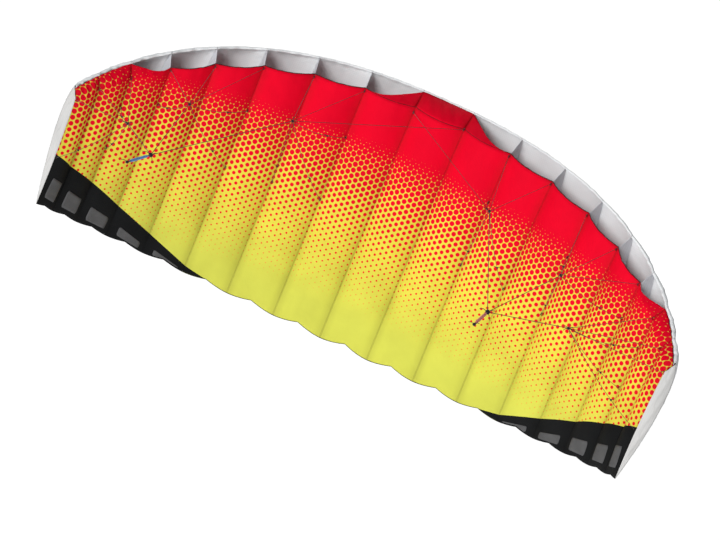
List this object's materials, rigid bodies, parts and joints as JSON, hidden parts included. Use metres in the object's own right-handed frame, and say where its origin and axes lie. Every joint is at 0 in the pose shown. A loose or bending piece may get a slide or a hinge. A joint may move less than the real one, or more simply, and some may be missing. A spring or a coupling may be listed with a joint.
{
  "type": "two-line ram-air foil kite",
  "caption": "Inflated soft foil kite: an arched wing of cloth cells with open nose inlets, a printed lower skin, a cascaded bridle and two leaders for the flying lines.",
  "frame": {"origin": "midway between the two tow knots, where the two flying lines pull on the kite", "axes": "+X along the span, -Y towards the person flying it, +Z from the trailing edge to the leading edge"},
  "size_m": [1.7806, 1.2852, 0.7697],
  "materials": {
    "lower_skin": "ripstop cloth printed from crimson at the lip to lime yellow at the tail, with black tail panels",
    "upper_skin": "thin white ripstop cloth, slightly see-through",
    "rib_cloth": "light grey ripstop cloth with vents",
    "nose_cover": "crimson ripstop cloth sewn over the closed cell mouths",
    "bridle_line": "dark braided line",
    "left_sleeve": "blue woven sleeve",
    "right_sleeve": "red woven sleeve"
  },
  "bodies": {
    "centre": {"lower_panel_07": "lower_skin", "lower_panel_08": "lower_skin", "lower_panel_09": "lower_skin", "lower_panel_10": "lower_skin", "lower_panel_11": "lower_skin", "rib_07": "rib_cloth", "rib_08": "rib_cloth", "rib_09": "rib_cloth", "rib_10": "rib_cloth", "rib_11": "rib_cloth", "rib_12": "rib_cloth", "upper_skin_centre": "upper_skin", "nose_cover_centre": "nose_cover", "left_inner_bridle": "bridle_line", "right_inner_bridle": "bridle_line"},
    "left_mid": {"lower_panel_04": "lower_skin", "lower_panel_05": "lower_skin", "lower_panel_06": "lower_skin", "rib_04": "rib_cloth", "rib_05": "rib_cloth", "rib_06": "rib_cloth", "upper_skin_left_mid": "upper_skin", "left_mid_bridle": "bridle_line", "left_inner_main_line": "bridle_line", "left_tip_main_line": "bridle_line"},
    "left_tip": {"lower_panel_01": "lower_skin", "lower_panel_02": "lower_skin", "lower_panel_03": "lower_skin", "rib_01": "rib_cloth", "rib_02": "rib_cloth", "rib_03": "rib_cloth", "upper_skin_left_tip": "upper_skin", "nose_cover_left_tip": "nose_cover", "left_tip_bridle": "bridle_line"},
    "left_leader": {"left_leader_line": "bridle_line", "left_leader_sleeve": "left_sleeve"},
    "right_mid": {"lower_panel_12": "lower_skin", "lower_panel_13": "lower_skin", "lower_panel_14": "lower_skin", "rib_13": "rib_cloth", "rib_14": "rib_cloth", "rib_15": "rib_cloth", "upper_skin_right_mid": "upper_skin", "right_mid_bridle": "bridle_line", "right_inner_main_line": "bridle_line", "right_tip_main_line": "bridle_line"},
    "right_tip": {"lower_panel_15": "lower_skin", "lower_panel_16": "lower_skin", "lower_panel_17": "lower_skin", "rib_16": "rib_cloth", "rib_17": "rib_cloth", "rib_18": "rib_cloth", "upper_skin_right_tip": "upper_skin", "nose_cover_right_tip": "nose_cover", "right_tip_bridle": "bridle_line"},
    "right_leader": {"right_leader_line": "bridle_line", "right_leader_sleeve": "right_sleeve"}
  },
  "joints": [
    {"name": "left_mid_flex", "type": "hinge", "parent": "centre", "child": "left_mid", "pos_m": [-0.36071, 0.95386, 0], "axis": [0, 0, 1], "range_deg": [0, 10], "stiffness_Nm_per_rad": 0.5, "deforming": ["left_inner_main_line"]},
    {"name": "left_tip_fold", "type": "hinge", "parent": "left_mid", "child": "left_tip", "pos_m": [-0.69634, 0.76591, 0], "axis": [0, 0, 1], "range_deg": [0, 30], "stiffness_Nm_per_rad": 0.5, "deforming": ["left_tip_main_line"]},
    {"name": "left_leader_swing", "type": "hinge", "parent": "left_mid", "child": "left_leader", "pos_m": [-0.442, 0, 0], "axis": [1, 0, 0], "range_deg": [-60, 90]},
    {"name": "right_mid_flex", "type": "hinge", "parent": "centre", "child": "right_mid", "pos_m": [0.36071, 0.95386, 0], "axis": [0, 0, -1], "range_deg": [0, 10], "stiffness_Nm_per_rad": 0.5, "deforming": ["right_inner_main_line"]},
    {"name": "right_tip_fold", "type": "hinge", "parent": "right_mid", "child": "right_tip", "pos_m": [0.69634, 0.76591, 0], "axis": [0, 0, -1], "range_deg": [0, 30], "stiffness_Nm_per_rad": 0.5, "deforming": ["right_tip_main_line"]},
    {"name": "right_leader_swing", "type": "hinge", "parent": "right_mid", "child": "right_leader", "pos_m": [0.442, 0, 0], "axis": [1, 0, 0], "range_deg": [-60, 90]}
  ]
}
